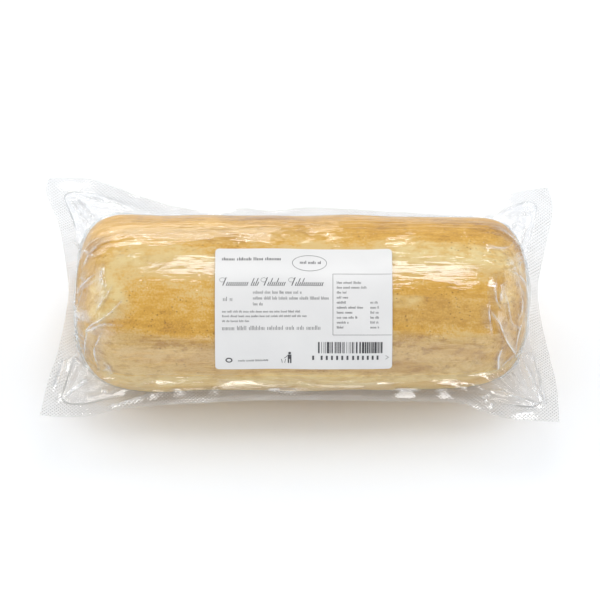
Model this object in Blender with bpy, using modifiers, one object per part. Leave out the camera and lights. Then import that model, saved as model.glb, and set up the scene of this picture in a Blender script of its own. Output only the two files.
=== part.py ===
"""Smoked scamorza log, vacuum packed in a clear sealed bag with a paper label on it.

Metres, +Z up.  The log lies along X and faces -Y.  The origin is the middle of the bag's
plan outline, on the table.
"""
import math

import bmesh
import bpy

MM = 0.001

# The log: an oval bar with softly rounded ends, pressed flat where it rests.
LOG_HALF_LENGTH = 130.0 * MM
LOG_HALF_WIDTH = 52.2 * MM
LOG_HALF_HEIGHT = 47.4 * MM
LOG_END_SQUARENESS = 13.0
LOG_END_SLANT = 2.5
LOG_END_SLANT_SIDE = math.radians(140.0)
LOG_END_ROUNDNESS = 2.15
LOG_TAPER = 0.018
LOG_OFFSET_X = 1.0 * MM
LOG_OFFSET_Y = -3.7 * MM
REST_PRESS = 3.0 * MM
LOG_MIDDLE = LOG_HALF_HEIGHT - REST_PRESS
# Soft lumps of the kneaded cheese: share of the radius, waves along, waves around, phase.
LUMPS = (
    (0.008, 2.0, 2, 0.6),
    (0.006, 3.5, 3, 2.1),
    (0.004, 6.0, 1, 4.0),
)

# The bag: two films welded round the edge, just below the middle of the log.
SEAL_DROP = 2.0 * MM
SEAL_HEIGHT = LOG_MIDDLE - SEAL_DROP
FILM_THICKNESS = 1.4 * MM
FILLET_THICKNESS = 4.0 * MM
FILLET_REACH = 0.7
# The four edges of the bag, as plan points and heights above the seal plane, in millimetres.
# The corners stand away from the log, and the vacuum draws the long and short edges in.
EDGE_FRONT = (
    (-146.0, -88.0, 3.0), (-119.5, -86.5, 1.0), (-101.0, -80.6, 0.0), (-61.5, -76.5, 0.5),
    (-10.0, -73.7, -0.5), (50.0, -75.0, 0.5), (89.0, -75.5, -0.5), (102.5, -81.7, 0.0),
    (118.0, -87.2, 0.0),
)
EDGE_RIGHT = (
    (146.0, -89.0, -0.5), (145.7, -62.8, -1.0), (143.0, -42.0, -3.0), (139.5, -15.0, -5.0),
    (138.0, 12.6, -6.0), (142.5, 37.6, -4.0), (148.8, 68.3, 0.0),
)
EDGE_BACK = (
    (146.5, 86.2, 1.0), (127.0, 82.3, 1.0), (109.5, 72.2, 0.0), (98.0, 66.6, -1.5),
    (56.0, 67.9, 0.0), (8.0, 70.2, 1.0), (-17.0, 69.4, -0.7), (-32.0, 69.8, 0.8),
    (-50.0, 69.3, -0.6), (-73.0, 70.6, 1.0), (-91.0, 76.9, 2.0), (-108.0, 83.7, 4.0),
    (-125.0, 88.4, 6.0),
)
EDGE_LEFT = (
    (-147.8, 87.5, 7.0), (-149.0, 75.0, 7.0), (-141.0, 52.0, 6.0), (-135.0, 18.0, 5.5),
    (-133.3, -4.7, 5.5), (-137.4, -41.4, 5.0), (-142.3, -62.5, 4.0),
)

# The label: a rounded card stuck on the film, on the upper front of the log.
LABEL_LENGTH = 100.0 * MM
LABEL_HEIGHT = 73.0 * MM
LABEL_CORNER = 2.4 * MM
LABEL_THICKNESS = 0.4 * MM
LABEL_GAP = 0.3 * MM
LABEL_CENTRE_X = 1.2 * MM
LABEL_TILT_UP = math.radians(47.3)

# Fineness of the faceted surfaces.
LOG_RINGS = 34
LOG_SIDES = 52
EDGE_STEP = 9.0 * MM
SKIRT_RINGS = 5
BISECTIONS = 30
LABEL_COLUMNS = 14
LABEL_ROWS = 16


def clear_scene():
    for old in list(bpy.data.objects):
        bpy.data.objects.remove(old, do_unlink=True)


def new_collection(name):
    collection = bpy.data.collections.new(name)
    bpy.context.scene.collection.children.link(collection)
    return collection


def material(name, colour, roughness, metallic=0.0):
    made = bpy.data.materials.new(name)
    made.use_nodes = True
    shader = made.node_tree.nodes["Principled BSDF"]
    shader.inputs["Base Color"].default_value = (*colour, 1.0)
    shader.inputs["Roughness"].default_value = roughness
    shader.inputs["Metallic"].default_value = metallic
    return made


def mesh_object(name, bm, collection, finish=None):
    mesh = bpy.data.meshes.new(name)
    bm.to_mesh(mesh)
    bm.free()
    mesh.shade_smooth()
    made = bpy.data.objects.new(name, mesh)
    collection.objects.link(made)
    if finish:
        mesh.materials.append(finish)
    return made


def log_girth(along, around):
    """Share of the full section that is left at a place along the log, 0 at its two tips."""
    squareness = LOG_END_SQUARENESS + LOG_END_SLANT * math.cos(around - LOG_END_SLANT_SIDE)
    return max(0.0, 1.0 - abs(along) ** squareness) ** (1.0 / LOG_END_ROUNDNESS)


def log_point(along, around, lift=0.0):
    """Surface point of the log: along from -1 to 1, around in radians up from the front."""
    girth = log_girth(along, around)
    lumps = 1.0 - LOG_TAPER * along
    for share, waves_along, waves_around, phase in LUMPS:
        wave = math.sin(waves_along * along * math.pi + phase)
        lumps += share * wave * math.cos(waves_around * around + phase)
    x = LOG_HALF_LENGTH * along
    y = -(LOG_HALF_WIDTH * lumps + lift) * girth * math.cos(around)
    z = (LOG_HALF_HEIGHT * lumps + lift) * girth * math.sin(around)
    z = max(z, REST_PRESS - LOG_HALF_HEIGHT)
    return (x + LOG_OFFSET_X, y + LOG_OFFSET_Y, z + LOG_MIDDLE)


def make_log(collection, finish):
    """A sphere whose poles lie on the X axis, with every vertex moved out to the log."""
    bm = bmesh.new()
    bmesh.ops.create_uvsphere(bm, u_segments=LOG_SIDES, v_segments=LOG_RINGS, radius=1.0)
    for vertex in bm.verts:
        along = max(-1.0, min(1.0, vertex.co.z))
        around = math.atan2(vertex.co.y, vertex.co.x)
        vertex.co = log_point(along, around)
    bmesh.ops.recalc_face_normals(bm, faces=bm.faces)
    return mesh_object("sealed_bag", bm, collection, finish)


def catmull(before, start, end, after, share):
    """Point on the smooth curve from start to end, for a share from 0 to 1."""
    return tuple(
        0.5 * (
            2.0 * b + (c - a) * share
            + (2.0 * a - 5.0 * b + 4.0 * c - d) * share ** 2
            + (3.0 * b - a - 3.0 * c + d) * share ** 3
        )
        for a, b, c, d in zip(before, start, end, after)
    )


def edge_points():
    """The bag's edge as one closed loop, smooth along each edge and sharp at the corners."""
    loop = []
    edges = (EDGE_FRONT, EDGE_RIGHT, EDGE_BACK, EDGE_LEFT)
    for index, edge in enumerate(edges):
        points = [*edge, edges[(index + 1) % len(edges)][0]]
        points = [points[0], *points, points[-1]]
        for k in range(1, len(points) - 2):
            span = math.dist(points[k], points[k + 1]) * MM
            steps = max(1, round(span / EDGE_STEP))
            for step in range(steps):
                point = catmull(*points[k - 1:k + 3], step / steps)
                loop.append(tuple(value * MM for value in point))
    return loop


def inner_point(edge):
    """Where the film leaves the log, straight in from a point on the edge."""
    spine = LOG_HALF_LENGTH - LOG_HALF_WIDTH * 0.72
    x = edge[0] - LOG_OFFSET_X
    y = edge[1] - LOG_OFFSET_Y
    side = 0.0 if y < 0.0 else math.pi
    start = max(-spine, min(spine, x))
    near, far = 0.0, 1.0
    for _ in range(BISECTIONS):
        share = (near + far) / 2.0
        along = (start + (x - start) * share) / LOG_HALF_LENGTH
        inside = abs(y * share) < LOG_HALF_WIDTH * log_girth(along, side)
        near, far = (share, far) if inside else (near, share)
    return (start + (x - start) * near + LOG_OFFSET_X, y * near + LOG_OFFSET_Y)


def make_skirt(collection):
    """The flat film round the log, thicker where the two films part to pass over it."""
    bm = bmesh.new()
    bury = 0.12
    rings = []
    swell = {}
    for ring in range(SKIRT_RINGS + 1):
        share = ring / SKIRT_RINGS
        row = []
        for edge in edge_points():
            ix, iy = inner_point(edge)
            inward = share * (1.0 + bury)
            x = edge[0] + (ix - edge[0]) * inward
            y = edge[1] + (iy - edge[1]) * inward
            height = edge[2] * (1.0 - min(1.0, inward)) ** 0.8
            vertex = bm.verts.new((x, y, SEAL_HEIGHT + height))
            fillet = max(0.0, (inward - FILLET_REACH) / (1.0 - FILLET_REACH))
            thick = FILM_THICKNESS + (FILLET_THICKNESS - FILM_THICKNESS) * fillet ** 2
            swell[vertex] = min(1.0, thick / FILLET_THICKNESS)
            row.append(vertex)
        rings.append(row)
    for outer, inner in zip(rings, rings[1:]):
        for k in range(len(outer)):
            after = (k + 1) % len(outer)
            bm.faces.new((outer[k], outer[after], inner[after], inner[k]))
    bm.verts.index_update()
    weights = [(vertex.index, share) for vertex, share in swell.items()]
    skirt = mesh_object("film_skirt", bm, collection)
    group = skirt.vertex_groups.new(name="swell")
    for index, share in weights:
        group.add([index], share, "REPLACE")
    solidify = skirt.modifiers.new("Solidify", "SOLIDIFY")
    solidify.thickness = FILLET_THICKNESS
    solidify.offset = 0.0
    solidify.vertex_group = "swell"
    skirt.hide_render = True
    skirt.display_type = "WIRE"
    return skirt


def make_bag(collection, cutters, finish):
    bag = make_log(collection, finish)
    union = bag.modifiers.new("Film", "BOOLEAN")
    union.operation = "UNION"
    union.solver = "EXACT"
    union.object = make_skirt(cutters)
    return bag


def label_line(share, length, corner, count):
    """Position of a grid line across the label: the outer lines lie a corner radius apart."""
    if share <= 0.5 / count:
        return -length / 2.0
    if share >= 1.0 - 0.5 / count:
        return length / 2.0
    inner = (share - 1.0 / count) / (1.0 - 2.0 / count)
    return (inner - 0.5) * (length - 2.0 * corner)


def make_label(collection, finish):
    """A grid bent onto the log above the film, with its four corners rounded off."""
    bm = bmesh.new()
    bmesh.ops.create_grid(bm, x_segments=LABEL_COLUMNS, y_segments=LABEL_ROWS, size=0.5)
    radius = (LOG_HALF_WIDTH + LOG_HALF_HEIGHT) / 2.0
    trim = LABEL_CORNER * (1.0 - math.sqrt(0.5))
    for vertex in bm.verts:
        x = label_line(vertex.co.x + 0.5, LABEL_LENGTH, LABEL_CORNER, LABEL_COLUMNS)
        y = label_line(vertex.co.y + 0.5, LABEL_HEIGHT, LABEL_CORNER, LABEL_ROWS)
        at_end = abs(x) > LABEL_LENGTH / 2.0 - trim
        at_side = abs(y) > LABEL_HEIGHT / 2.0 - trim
        if at_end and at_side:
            x -= math.copysign(trim, x)
            y -= math.copysign(trim, y)
        along = (x + LABEL_CENTRE_X) / LOG_HALF_LENGTH
        around = LABEL_TILT_UP + y / radius
        vertex.co = log_point(along, around, LABEL_GAP)
    label = mesh_object("label", bm, collection, finish)
    solidify = label.modifiers.new("Solidify", "SOLIDIFY")
    solidify.thickness = LABEL_THICKNESS
    solidify.offset = 1.0
    return label


def main():
    clear_scene()
    parts = new_collection("smoked_scamorza")
    cutters = new_collection("guides")
    cheese = material("cheese_in_film", (0.72, 0.47, 0.18), 0.25)
    card = material("label_card", (0.84, 0.84, 0.85), 0.5)
    make_bag(parts, cutters, cheese)
    make_label(parts, card)


main()
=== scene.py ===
"""Looks of a smoked scamorza log in a clear vacuum bag with a paper label."""
import math
from types import SimpleNamespace

import bpy
import numpy as np
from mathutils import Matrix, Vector


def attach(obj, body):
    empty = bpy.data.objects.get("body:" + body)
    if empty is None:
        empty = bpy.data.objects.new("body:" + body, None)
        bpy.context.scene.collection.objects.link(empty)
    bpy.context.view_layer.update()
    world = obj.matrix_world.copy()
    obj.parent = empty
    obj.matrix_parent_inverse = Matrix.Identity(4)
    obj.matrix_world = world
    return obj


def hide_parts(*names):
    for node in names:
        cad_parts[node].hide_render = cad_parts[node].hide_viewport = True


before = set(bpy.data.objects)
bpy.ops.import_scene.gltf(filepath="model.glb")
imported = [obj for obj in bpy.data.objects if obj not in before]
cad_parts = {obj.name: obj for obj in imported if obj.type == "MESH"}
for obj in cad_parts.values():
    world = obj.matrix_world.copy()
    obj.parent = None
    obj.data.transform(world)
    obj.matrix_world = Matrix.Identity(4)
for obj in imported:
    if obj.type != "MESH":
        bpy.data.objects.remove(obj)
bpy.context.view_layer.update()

MM = 0.001

# The log and the bag, with the same named sizes as the solids.
LOG_HALF_LENGTH = 130.0 * MM
LOG_HALF_WIDTH = 52.2 * MM
LOG_HALF_HEIGHT = 47.4 * MM
LOG_END_SQUARENESS = 13.0
LOG_END_SLANT = 2.5
LOG_END_SLANT_SIDE = math.radians(140.0)
LOG_END_ROUNDNESS = 2.15
LOG_TAPER = 0.018
LOG_OFFSET_X = 1.0 * MM
LOG_OFFSET_Y = -3.7 * MM
REST_PRESS = 3.0 * MM
LOG_MIDDLE = LOG_HALF_HEIGHT - REST_PRESS
LOG_CENTRE = np.array([LOG_OFFSET_X, LOG_OFFSET_Y, LOG_MIDDLE])
LOG_HALF_SIZES = (LOG_HALF_LENGTH, LOG_HALF_WIDTH, LOG_HALF_HEIGHT)
# Share of the thickness, waves along, waves around, and phase.
LUMPS = (
    (0.008, 2.0, 2, 0.6),
    (0.006, 3.5, 3, 2.1),
    (0.004, 6.0, 1, 4.0),
)
SEAL_DROP = 2.0 * MM
SEAL_HEIGHT = LOG_MIDDLE - SEAL_DROP
# The bag's edges: places in mm, with the height above the seal; each starts at a corner.
EDGE_FRONT = (
    (-146, -88, 3), (-119.5, -86.5, 1), (-101, -80.6, 0), (-61.5, -76.5, 0.5),
    (-10, -73.7, -0.5), (50, -75, 0.5), (89, -75.5, -0.5), (102.5, -81.7, 0),
    (118, -87.2, 0),
)
EDGE_RIGHT = (
    (146, -89, -0.5), (145.7, -62.8, -1), (143, -42, -3), (139.5, -15, -5),
    (138, 12.6, -6), (142.5, 37.6, -4), (148.8, 68.3, 0),
)
EDGE_BACK = (
    (146.5, 86.2, 1), (127, 82.3, 1), (109.5, 72.2, 0), (98, 66.6, -1.5),
    (56, 67.9, 0), (8, 70.2, 1), (-17, 69.4, -0.7), (-32, 69.8, 0.8),
    (-50, 69.3, -0.6), (-73, 70.6, 1), (-91, 76.9, 2), (-108, 83.7, 4),
    (-125, 88.4, 6),
)
EDGE_LEFT = (
    (-147.8, 87.5, 7), (-149, 75, 7), (-141, 52, 6), (-135, 18, 5.5),
    (-133.3, -4.7, 5.5), (-137.4, -41.4, 5), (-142.3, -62.5, 4),
)
EDGES = (EDGE_FRONT, EDGE_RIGHT, EDGE_BACK, EDGE_LEFT)
CORNERS = np.array([edge[0] for edge in EDGES]) * MM
LABEL_LENGTH = 100.0 * MM
LABEL_HEIGHT = 73.0 * MM
LABEL_CORNER = 2.4 * MM
LABEL_CENTRE_X = 1.2 * MM
LABEL_TILT_UP = math.radians(47.3)

# The film as it is seen.
SEAL_WIDTH = 9.0 * MM
SEAL_CORNER = 7.0 * MM
EMBOSS_PITCH = 2.2 * MM
FILM_LIFT = 0.35 * MM
FILM_GAP = 0.3 * MM
FILM_CLEARANCE = 0.06 * MM
CHEESE_CLEARANCE = 0.35 * MM
# What the attribute from_edge says for film over the log, in mm.
OVER_LOG = 40.0
SPINE = 92.0 * MM
SIDE_STATIONS = 84
FAN_STATIONS = 312
SEAL_RINGS = 8
FLANGE_RINGS = 36
TOP_RINGS = 78
BASE_RINGS = 70

# The camera: a long lens that looks down on the log from the front.
CAMERA_ELEVATION = math.radians(50.0)
CAMERA_DISTANCE = 2.25
PIXEL = 0.576 * MM
SENSOR_WIDTH = 36.0
PHOTO_SIZE = 600
LOG_CENTRE_PIXEL = (301.5, 302.6)


# ---------------- noise and shapes

# Large numbers that scramble a lattice point.
HASH_FACTORS = (374761393, 668265263, 2147483647, 974634777)
HASH_MIXER = 1274126177
HASH_LIMIT = 0xFFFFFFFF


def hashed(ix, iy, iz, seed):
    """A repeatable random number from 0 to 1 for each lattice point."""
    mixed = sum(part * factor for part, factor in zip((ix, iy, iz, seed), HASH_FACTORS)) & HASH_LIMIT
    mixed = ((mixed ^ (mixed >> 13)) * HASH_MIXER) & HASH_LIMIT
    mixed = (mixed ^ (mixed >> 16)) & HASH_LIMIT
    return mixed / HASH_LIMIT


def noise(points, seed=0):
    """Smooth value noise from -1 to 1 at each row of points."""
    cell = np.floor(points).astype(np.int64)
    part = points - cell
    part = part * part * part * (part * (part * 6.0 - 15.0) + 10.0)
    sides = (1.0 - part, part)
    total = np.zeros(points.shape[:-1])
    for dx, dy, dz in np.ndindex(2, 2, 2):
        weight = sides[dx][..., 0] * sides[dy][..., 1] * sides[dz][..., 2]
        total += weight * hashed(cell[..., 0] + dx, cell[..., 1] + dy, cell[..., 2] + dz, seed)
    return total * 2.0 - 1.0


def fractal(points, octaves, seed=0):
    """Several sizes of noise on top of each other."""
    total = np.zeros(points.shape[:-1])
    strength = 1.0
    for octave in range(octaves):
        total += strength * noise(points * 2.0 ** octave + 17.3 * octave, seed + octave)
        strength *= 0.5
    return total


def ramp(low, high, value):
    """Smooth step from 0 at low to 1 at high."""
    share = np.clip((value - low) / (high - low), 0.0, 1.0)
    return share * share * (3.0 - 2.0 * share)


def bell(value):
    """1 at 0, fading to 0 on both sides."""
    return np.exp(-value ** 2)


def log_squareness(around):
    return LOG_END_SQUARENESS + LOG_END_SLANT * np.cos(around - LOG_END_SLANT_SIDE)


def log_lumps(along, around):
    lumps = 1.0 - LOG_TAPER * along
    for share, waves_along, waves_around, phase in LUMPS:
        wave = np.sin(waves_along * along * math.pi + phase)
        lumps = lumps + share * wave * np.cos(waves_around * around + phase)
    return lumps


def log_girth(along, around):
    """The log's thickness without its lumps, 1 in the middle and 0 at the tips."""
    return np.maximum(0.0, 1.0 - np.abs(along) ** log_squareness(around)) ** (1.0 / LOG_END_ROUNDNESS)


def log_point(along, around):
    """Points on the log, for shares of its half length and angles up from the front."""
    lumps = log_lumps(along, around)
    girth = log_girth(along, around)
    return np.stack([
        LOG_HALF_LENGTH * along + LOG_OFFSET_X,
        -LOG_HALF_WIDTH * lumps * girth * np.cos(around) + LOG_OFFSET_Y,
        LOG_HALF_HEIGHT * lumps * girth * np.sin(around) + LOG_MIDDLE,
    ], axis=-1)


def log_shares(points):
    """Places from the log's middle, as shares of its half length, half width and half height."""
    return [(points[..., k] - LOG_CENTRE[k]) / LOG_HALF_SIZES[k] for k in range(3)]


def toward_end(points):
    """How near points are to an end of the log: 0 in the middle, 1 at the tip."""
    return np.abs(points[..., 0] - LOG_OFFSET_X) / LOG_HALF_LENGTH


def log_field(points):
    """Distance of points from the log's surface, outside positive, and the outward normals."""
    x, y, z = log_shares(points)
    around = np.arctan2(z, -y)
    lumps = log_lumps(x, around)
    power = log_squareness(around)
    rim = np.maximum(np.hypot(y, z) / lumps, 1e-6)
    x_abs = np.maximum(np.abs(x), 1e-6)
    value = rim ** LOG_END_ROUNDNESS + x_abs ** power - 1.0
    slope_rim = LOG_END_ROUNDNESS * rim ** (LOG_END_ROUNDNESS - 2.0) / lumps ** 2
    gradient = np.stack([
        np.sign(x) * power * x_abs ** (power - 1.0) / LOG_HALF_LENGTH,
        slope_rim * y / LOG_HALF_WIDTH,
        slope_rim * z / LOG_HALF_HEIGHT,
    ], axis=-1)
    size = np.linalg.norm(gradient, axis=-1)
    return value / size, gradient / size[..., None]


def onto_log(points, lift):
    """Points moved along the normals until they lie the given lift above the log."""
    moved = points.copy()
    for _ in range(3):
        distance, normal = log_field(moved)
        moved -= np.clip(distance - lift, -3.0 * MM, 3.0 * MM)[..., None] * normal
    return moved


def last_inside(inside, farthest, steps):
    """How far out along each ray inside() still holds, found by halving."""
    near, far = np.zeros(farthest.shape), farthest
    for _ in range(steps):
        middle = (near + far) / 2.0
        held = inside(middle)
        near = np.where(held, middle, near)
        far = np.where(held, far, middle)
    return near


def arc_length(path):
    """The length of a path of points up to each of them."""
    return np.concatenate([[0.0], np.cumsum(np.linalg.norm(np.diff(path, axis=0), axis=1))])


def rind_relief(points, fine=True):
    """How far the rind stands above the log's even surface: lumps drawn out lengthwise, and grooves."""
    lumps = fractal(points * (14.0, 42.0, 42.0), 2, 5)
    grooves = noise(points * (22.0, 190.0, 190.0), 7)
    relief = 0.24 * lumps + 0.11 * grooves
    relief += 0.25 * ramp(0.80, 0.97, toward_end(points)) * fractal(points * 75.0, 2, 9)
    if fine:
        relief += 0.05 * fractal(points * (60.0, 420.0, 420.0), 2, 13)
    return relief * MM


def mesh_piece(name, verts, faces, material, smooth=True):
    mesh = bpy.data.meshes.new(name)
    mesh.from_pydata(verts.tolist(), [], [tuple(face) for face in faces])
    mesh.update()
    if smooth:
        mesh.shade_smooth()
    mesh.materials.append(material)
    piece = bpy.data.objects.new(name, mesh)
    bpy.context.scene.collection.objects.link(piece)
    return piece


def grid_faces(rows, columns, start=0, wrap=True, flip=False):
    """Quads of a grid whose rows follow each other in the vertex list."""
    row, column = np.meshgrid(np.arange(rows - 1), np.arange(columns if wrap else columns - 1),
                              indexing="ij")
    after = (column + 1) % columns
    a = start + row * columns + column
    b = start + row * columns + after
    c = start + (row + 1) * columns + after
    d = start + (row + 1) * columns + column
    quads = np.stack([a, b, c, d], axis=-1).reshape(-1, 4)
    return quads[:, ::-1] if flip else quads


def set_attributes(piece, **attributes):
    for name, values in attributes.items():
        layer = piece.data.attributes.new(name, "FLOAT", "POINT")
        layer.data.foreach_set("value", values.astype(np.float32).ravel())


# ---------------- node helpers

class Nodes:
    """A small helper that adds nodes to a tree and links them."""

    def __init__(self, tree):
        self.tree = tree

    def put(self, socket, value):
        """Link another node's value to a socket, or set its number or colour; None leaves it."""
        if isinstance(value, bpy.types.NodeSocket):
            self.tree.links.new(value, socket)
        elif isinstance(value, tuple) and socket.type == "RGBA":
            socket.default_value = (*value, 1.0)
        elif value is not None:
            socket.default_value = value

    def add(self, kind, **inputs):
        node = self.tree.nodes.new(kind)
        for name, value in inputs.items():
            self.put(node.inputs[name.replace("_", " ")], value)
        return node

    def fill(self, node, values, places=None):
        """Put values into a node's inputs, by their places, and return its first output."""
        for place, value in zip(places or range(len(values)), values):
            self.put(node.inputs[place], value)
        return node.outputs[0]

    def math(self, operation, a, b=0.0, c=0.0, clamp=False):
        node = self.add("ShaderNodeMath")
        node.operation = operation
        node.use_clamp = clamp
        return self.fill(node, (a, b, c))

    def times(self, a, b):
        return self.math("MULTIPLY", a, b)

    def scaled(self, value, factor, plus):
        """value * factor + plus."""
        return self.math("MULTIPLY_ADD", value, factor, plus)

    def attribute(self, name):
        node = self.add("ShaderNodeAttribute")
        node.attribute_name = name
        return node.outputs["Fac"]

    def place(self, x=1.0, y=1.0, z=1.0):
        """Object coordinates, scaled on each axis."""
        coords = self.add("ShaderNodeTexCoord")
        mapping = self.add("ShaderNodeMapping", Vector=coords.outputs["Object"], Scale=(x, y, z))
        return mapping.outputs["Vector"]

    def split(self, vector):
        return self.add("ShaderNodeSeparateXYZ", Vector=vector).outputs

    def noise(self, vector, scale=1.0, detail=4.0, roughness=0.55, distortion=0.0):
        node = self.add("ShaderNodeTexNoise", Vector=vector, Scale=scale, Detail=detail,
                        Roughness=roughness, Distortion=distortion)
        return node.outputs["Fac"]

    def step(self, value, low, high, to_low=0.0, to_high=1.0):
        """A smooth step from to_low at low to to_high at high."""
        node = self.add("ShaderNodeMapRange")
        node.interpolation_type = "SMOOTHSTEP"
        return self.fill(node, (value, low, high, to_low, to_high))

    def patchy(self, value, vector, scale, *span):
        """A value that comes and goes with noise, which span steps as in step."""
        return self.times(value, self.step(self.noise(vector, scale, 2.0), *span))

    def mix(self, share, first, second):
        node = self.add("ShaderNodeMix")
        node.data_type = "RGBA"
        self.fill(node, (share, first, second), (0, 6, 7))
        return node.outputs[2]

    def bump(self, height, strength, distance, normal=None):
        return self.add("ShaderNodeBump", Height=height, Strength=strength, Distance=distance,
                        Normal=normal).outputs["Normal"]

    def layer(self, share, under, over):
        """One shader over another, to the given share."""
        node = self.add("ShaderNodeMixShader")
        self.fill(node, (share, under.outputs[0], over.outputs[0]))
        return node


class Material(Nodes):
    """The nodes of a new material."""

    def __init__(self, name):
        self.material = bpy.data.materials.new(name)
        self.material.use_nodes = True
        super().__init__(self.material.node_tree)
        self.tree.nodes.clear()

    def finish(self, shader):
        self.add("ShaderNodeOutputMaterial", Surface=shader.outputs[0])
        return self.material

    def plain(self, colour, roughness, specular=0.5, normal=None):
        """Finish as one opaque surface."""
        return self.finish(self.add("ShaderNodeBsdfPrincipled", Base_Color=colour, Roughness=roughness,
                                    Specular_IOR_Level=specular, Normal=normal))


# ---------------- cheese

CHEESE_RINGS = 250
CHEESE_SIDES = 330
RIND_COLOUR = (0.779, 0.553, 0.221)
# Two depths of smoke, and the colour that the rind turns to between them.
SMOKED_COLOURS = (
    (-0.10, 0.30, (0.766, 0.478, 0.135)),
    (0.25, 0.60, (0.726, 0.409, 0.062)),
    (0.60, 1.05, (0.637, 0.345, 0.051)),
    (1.05, 1.60, (0.443, 0.221, 0.040)),
)
SMUDGE_COLOUR = (0.646, 0.434, 0.168)
PALE_COLOUR = (0.823, 0.650, 0.310)
PIT_COLOUR = (0.230, 0.106, 0.027)


def cheese_material():
    n = Material("smoked_rind")
    mottle = n.noise(n.place(0.40), 80.0, 5.0, 0.62)
    blotch = n.noise(n.place(0.6), 240.0, 4.0, 0.6)
    streaks = n.noise(n.place(0.14), 420.0, 5.0, 0.62)
    grain = n.noise(n.place(), 900.0, 3.0, 0.6)
    depth = n.attribute("smoke")
    for layer, amount in ((mottle, 1.7), (blotch, 1.5), (streaks, 1.2), (grain, 2.0)):
        depth = n.scaled(n.math("SUBTRACT", layer, 0.5), amount, depth)
    colour = RIND_COLOUR
    for low, high, darker in SMOKED_COLOURS:
        colour = n.mix(n.step(depth, low, high), colour, darker)
    smudge = SMUDGE_COLOUR
    for layer, low, high, most, other in (
        (mottle, 0.42, 0.60, 1.0, (0.531, 0.323, 0.112)),
        (grain, 0.46, 0.62, 0.45, (0.443, 0.266, 0.097)),
        (blotch, 0.50, 0.62, 1.0, (0.416, 0.243, 0.093)),
        (streaks, 0.52, 0.62, 0.8, (0.690, 0.487, 0.195)),
    ):
        smudge = n.mix(n.step(layer, low, high, 0.0, most), smudge, other)
    colour = n.mix(n.times(n.attribute("tan"), 0.75), colour, smudge)
    pale = n.times(n.attribute("pale"), n.step(blotch, 0.62, 0.38, 0.40, 1.0))
    colour = n.mix(pale, colour, PALE_COLOUR)
    pits = n.add("ShaderNodeTexVoronoi", Vector=n.place(0.8), Scale=520.0)
    pits = n.step(pits.outputs["Distance"], 0.28, 0.08)
    pits = n.patchy(pits, n.place(), 110.0, 0.44, 0.62)
    pits = n.times(pits, n.step(depth, 0.0, 0.5, 0.3, 1.0))
    colour = n.mix(n.times(pits, 0.8), colour, PIT_COLOUR)
    height = n.scaled(streaks, 0.7, n.times(blotch, 0.8))
    height = n.math("SUBTRACT", height, n.times(pits, 0.6))
    return n.plain(colour, 0.55, 0.2, n.bump(height, 0.5, 0.0006))


def log_profile():
    """Places along the log, spaced evenly along the curve of its outline from tip to tip."""
    dense = np.cos(np.linspace(0.0, math.pi, 4001))
    girth = np.maximum(0.0, 1.0 - np.abs(dense) ** LOG_END_SQUARENESS) ** (1.0 / LOG_END_ROUNDNESS)
    length = arc_length(np.stack([dense * LOG_HALF_LENGTH, girth * LOG_HALF_HEIGHT], axis=-1))
    return np.interp(np.linspace(0.0, length[-1], CHEESE_RINGS + 1), length, dense)


def make_cheese():
    along = log_profile()[1:-1]
    around = np.linspace(-math.pi, math.pi, CHEESE_SIDES, endpoint=False)
    along, around = np.meshgrid(along, around, indexing="ij")
    tips = LOG_CENTRE + np.array([[LOG_HALF_LENGTH, 0.0, 0.0], [-LOG_HALF_LENGTH, 0.0, 0.0]])
    verts = np.vstack([log_point(along, around).reshape(-1, 3), tips])
    _, normal = log_field(verts)
    verts = verts + rind_relief(verts)[:, None] * normal
    verts[:, 2] = np.maximum(verts[:, 2], CHEESE_CLEARANCE)
    rows, columns = along.shape
    faces = list(grid_faces(rows, columns))
    first_tip, last_tip = rows * columns, rows * columns + 1
    last_row = (rows - 1) * columns
    for k in range(columns):
        after = (k + 1) % columns
        faces.append((first_tip, after, k))
        faces.append((last_tip, last_row + k, last_row + after))
    cheese = mesh_piece("cheese", verts, faces, cheese_material())
    paint_cheese(cheese, verts)
    return cheese


# Broad patches of the rind: place along the log in mm, angle up from the front, half length in mm,
# half width in degrees, and strength.
DARK_PATCHES = (
    (-116, 94, 8, 16, 0.45),
    (-50, 102, 62, 9, 0.30),
    (-12, 118, 36, 14, 0.30),
    (34, 103, 40, 9, 0.38),
    (104, 113, 30, 14, 0.56),
    (78, 114, 44, 8, 0.20),
    (-80, 36, 34, 4.5, 0.24),
    (-82, 50, 30, 8, 0.14),
    (84, 60, 30, 8, 0.26),
    (68, 41, 16, 4, 0.26),
    (92, 48, 12, 8, 0.22),
    (-60, 128, 50, 8, 0.12),
    (30, -12, 50, 5, 0.16),
)
PALE_PATCHES = (
    (-110, 56, 9, 14, 0.9),
    (-118, 40, 7, 10, 0.8),
    (-98, 76, 12, 7, 0.5),
    (118, 86, 8, 9, 0.65),
    (114, 57, 6, 10, 0.55),
    (96, 88, 18, 8, 0.6),
    (58, 56, 7, 5, 0.7),
    (72, 82, 34, 8, 0.9),
    (-80, 84, 34, 7, 0.50),
    (0, -10, 66, 9, 1),
    (0, -22, 118, 4.5, 0.30),
    (-84, -9, 40, 7, 0.65),
    (88, -8, 40, 7, 0.70),
    (-50, -33, 70, 2.5, 0.9),
    (70, -30, 40, 3, 0.9),
    (-90, 4, 30, 6, 0.35),
    (100, 2, 24, 8, 0.35),
    (76, 92, 32, 7, 0.80),
)
DULL_PATCHES = (
    (-50, 104, 66, 8, 0.48),
    (-70, 78, 50, 6, 0.35),
    (60, 78, 50, 6, 0.50),
    (78, 46, 38, 14, 0.42),
    (-122, 50, 9, 60, 0.60),
    (122, 50, 12, 60, 0.90),
)


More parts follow.
